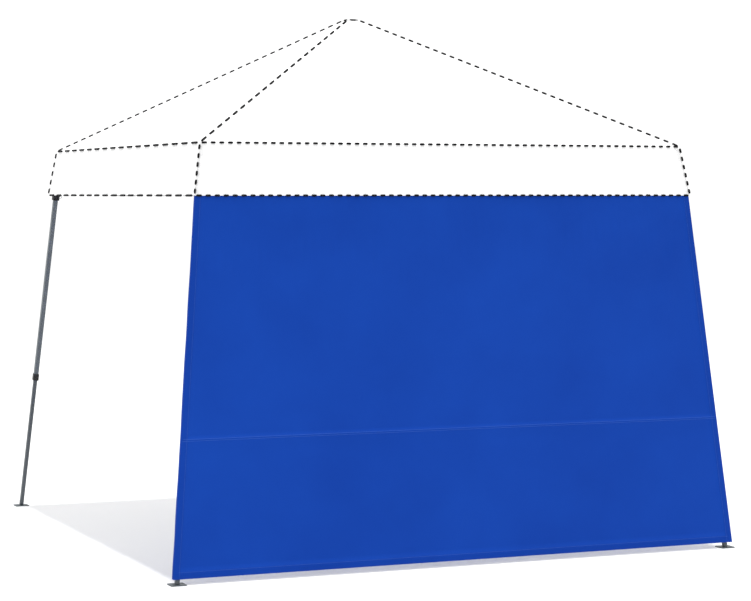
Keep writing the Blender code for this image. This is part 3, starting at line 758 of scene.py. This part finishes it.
def make_gore(name, turns, pleat):
    """One gore of the cover, from the peak to the hem, with its thickness."""
    numbers = gore_columns(pleat)
    bm = bmesh.new()
    grid = [[bm.verts.new(turned_point(c, r, turns)) for c in numbers] for r in range(rows + 1)]
    for upper, lower in zip(grid, grid[1:]):
        for i in range(len(numbers) - 1):
            bm.faces.new((upper[i], lower[i], lower[i + 1], upper[i + 1]))
    mesh = bpy.data.meshes.new(name)
    bm.to_mesh(mesh)
    bm.free()
    gore = bpy.data.objects.new(name, mesh)
    bpy.context.scene.collection.objects.link(gore)
    outward = [surface_normal(c, r, turns) for r in range(rows + 1) for c in numbers]
    if mesh.polygons[0].normal.dot(outward[0]) < 0.0:
        mesh.flip_normals()
    thicken(gore, CLOTH_THICKNESS, -1.0)
    count = len(outward)
    normals = [outward[v.index % count] * (1.0 if v.index < count else -1.0) for v in gore.data.vertices]
    gore.data.normals_split_custom_set_from_vertices([tuple(n) for n in normals])
    gore.data.materials.append(cover_cloth)
    return gore


gores = []
for turns in range(4):
    for pleat in range(PLEATS_PER_SIDE):
        gores.append(make_gore(f"cover_gore_{turns * PLEATS_PER_SIDE + pleat + 1:02d}", turns, pleat))
print(len(gores), "gores")

# %% [markdown]
# ## Lacing
# A thick black cord is laced in and out of the cloth along every edge of the cover: down the ridges,
# round the eaves, down the corners of the valance and along the hem. Behind the cloth it is out of
# sight, so from a distance each edge reads as a row of short black strokes. One stroke is a short
# tube with rounded ends. Each edge has its own number of strokes.

# %% Laced cord
LACE_RADIUS = 0.0056
LACE_LIFT = 0.5
STROKE_SHARE = 0.56
EAVE_STROKES = (60, 17, 60, 17)
RIDGE_STROKES = (21, 38, 38, 36)
CORNER_STROKES = (6, 6, 6, 5)
SHORT_STROKE = 0.05
END_STEP = 0.35
END_SHRINK = [0.45, 0.82]


def twisted_cord(name):
    """Black cord, with the slant lines of its twisted strands."""
    material, tree, shader, place = new_material(name, 0.7, specular=0.15)
    split = add(tree, "SeparateXYZ", {0: add(tree, "UVMap", uv_map="length").outputs[0]})
    fibre = cloud(tree, place, 300.0, 2.0, 0.5, 0.8)
    tree.links.new(mix_colours(tree, fibre, rgba(0.004, 0.004, 0.0045), rgba(0.014, 0.014, 0.015)),
                   shader.inputs["Base Color"])
    lay = math_node(tree, "ADD", math_node(tree, "MULTIPLY", split.outputs[0], 700.0),
                    math_node(tree, "MULTIPLY", split.outputs[1], 2.0 * math.pi * 3.0))
    bump(tree, shader, math_node(tree, "SINE", lay), 0.0006, 0.8)
    return material


lace_cord = twisted_cord("black_twisted_cord")


# %% Strokes on a gore
def edge_place(column, row, turns):
    """A place on the cover, lifted off the cloth by part of the cord's radius."""
    nearest = surface_normal(int(round(column)), int(round(row)), turns)
    return turned_point(column, row, turns) + nearest * LACE_LIFT * LACE_RADIUS


def add_stroke(bm, place_at, low, high):
    """One rounded stroke along an edge, from low to high on that edge's own scale."""
    length = (place_at(high) - place_at(low)).length
    if length < 3.0 * LACE_RADIUS:
        return
    soft = LACE_RADIUS * (high - low) / length
    middle = steps(low + soft, high - soft, 1 if length < SHORT_STROKE else 4)
    values = [low, low + END_STEP * soft] + middle + [high - END_STEP * soft, high]
    shrink = END_SHRINK + [1.0] * len(middle) + END_SHRINK[::-1]
    tube(bm, [place_at(v) for v in values], [LACE_RADIUS * share for share in shrink], 8)


def panel_strokes(bm, turns, row, count, first, last):
    """Strokes on the part of an eave or a hem that lies between two columns."""
    for cell in range(count):
        low = (cell + 0.5 - STROKE_SHARE / 2.0) / count * columns
        high = (cell + 0.5 + STROKE_SHARE / 2.0) / count * columns
        if high > first and low < last:
            add_stroke(bm, lambda c: edge_place(c, row, turns), max(low, first), min(high, last))


def row_strokes(bm, turns, count, first, last):
    """Strokes down the corner of the cover, between two rows."""
    for cell in range(count):
        low = first + (cell + 0.5 - STROKE_SHARE / 2.0) / count * (last - first)
        high = first + (cell + 0.5 + STROKE_SHARE / 2.0) / count * (last - first)
        add_stroke(bm, lambda r: edge_place(0, r, turns), low, high)


def make_lacing(name, turns, pleat):
    """The lacing and the hem's stitches on one gore."""
    bm = bmesh.new()
    numbers = gore_columns(pleat)
    for row in (ROOF_ROWS, rows):
        panel_strokes(bm, turns, row, EAVE_STROKES[turns], max(numbers[0], 0), numbers[-1])
        if pleat == 0:
            before = (turns - 1) % 4
            panel_strokes(bm, before, row, EAVE_STROKES[before], columns + numbers[0], columns)
    if pleat == 0:
        row_strokes(bm, turns, RIDGE_STROKES[turns], 0, ROOF_ROWS)
        row_strokes(bm, turns, CORNER_STROKES[turns], ROOF_ROWS, rows)
    stitched = [turned_point(c, rows - 0.8, turns) for c in numbers]
    tube(bm, stitched, [THREAD_RADIUS * 0.8] * len(stitched), 5, slot=1)
    return piece_from(bm, name, [lace_cord, white_thread])


lacings = []
for turns in range(4):
    for pleat in range(PLEATS_PER_SIDE):
        lacings.append(make_lacing(f"edge_lacing_{turns * PLEATS_PER_SIDE + pleat + 1:02d}", turns, pleat))
print(len(lacings), "lengths of lacing")

# %% [markdown]
# The flat on top of the cover is closed with a small square patch, bevelled so that its edge is soft.

# %% Peak patch
PATCH_SINK = 0.0002
PATCH_OVERLAP = 0.008
PATCH_THICKNESS = 0.0016
PATCH_BEVEL = 0.0006
bpy.ops.mesh.primitive_cube_add(size=1.0, location=(0.0, 0.0, PEAK_Z - PATCH_SINK))
peak_patch = bpy.context.active_object
peak_patch.name = "peak_patch"
peak_patch.scale = (2.0 * PEAK_HALF + PATCH_OVERLAP, 2.0 * PEAK_HALF + PATCH_OVERLAP, PATCH_THICKNESS)
bpy.ops.object.transform_apply(location=True, rotation=True, scale=True)
edge_bevel = peak_patch.modifiers.new("soft_edge", "BEVEL")
edge_bevel.width = PATCH_BEVEL
edge_bevel.segments = 2
bpy.ops.object.modifier_apply(modifier=edge_bevel.name)
peak_patch.data.materials.append(cover_cloth)

peak_bm = bmesh.new()
for turns in range(4):
    ends = [turned_point(0, 0, turns + step) + Vector((0.0, 0.0, LACE_LIFT * LACE_RADIUS)) for step in (0, 1)]
    add_stroke(peak_bm, lambda share: ends[0].lerp(ends[1], share), 0.2, 0.8)
peak_lacing = piece_from(peak_bm, "peak_lacing", [lace_cord])

# %% [markdown]
# ## How the cloth follows the frame
# The frame folds by one motion: the legs come together and rise towards the hub. Each gore and its
# lacing ride on the hub. The wall rides on the left leg.


for turns in range(4):
    for pleat in range(PLEATS_PER_SIDE):
        eave = cover_point(pleat / PLEATS_PER_SIDE, ROOF_ROWS)
        number = turns * PLEATS_PER_SIDE + pleat
        for piece in (gores[number], lacings[number]):
            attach(piece, "roof")
            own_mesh(piece)
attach(peak_patch, "roof")
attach(peak_lacing, "roof")

for gore in gores:
    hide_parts("canopy_top")

for piece in (wall, wall_seam, wall_hem):
    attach(piece, "leg_front_left")
    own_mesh(piece)
for piece, body in straps:
    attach(piece, body)
for piece, body in rings_made:
    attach(piece, body)
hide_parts("side_wall")

# %% [markdown]
# ## Floor and light
# The canopy stands on a plain white floor under an even white sky, with one lamp high above the peak.
# The lamp is there for the pale shade that the cover throws on the ground between the legs: it is
# near enough to spread the shade as wide as the feet. The floor glows a little by itself, which
# keeps that shade pale.

# %% Floor
FLOOR_SIZE = 120.0
bpy.ops.mesh.primitive_plane_add(size=FLOOR_SIZE, location=(0.0, 0.0, 0.0))
floor = bpy.context.active_object
floor.name = "floor"
floor_paint, _, shader, _ = new_material("pale_floor", 0.9, specular=0.0)
shader.inputs["Base Color"].default_value = rgba(0.757, 0.757, 0.757)
shader.inputs["Emission Color"].default_value = rgba(1.0, 1.0, 1.0)
shader.inputs["Emission Strength"].default_value = 0.16
floor.data.materials.append(floor_paint)

# %% Light
LAMP_HEIGHT = 23.0
LAMP_POWER = 11500.0
LAMP_RADIUS = 0.35
world = bpy.data.worlds.new("white_sky")
world.use_nodes = True
world.node_tree.nodes["Background"].inputs[0].default_value = rgba(1.0, 1.0, 1.0)
world.node_tree.nodes["Background"].inputs[1].default_value = 1.11
bpy.context.scene.world = world
bpy.ops.object.light_add(type="POINT", location=(0.0, 0.0, LAMP_HEIGHT))
lamp = bpy.context.active_object
lamp.data.energy = LAMP_POWER
lamp.data.shadow_soft_size = LAMP_RADIUS
bpy.context.scene.view_settings.view_transform = "Standard"
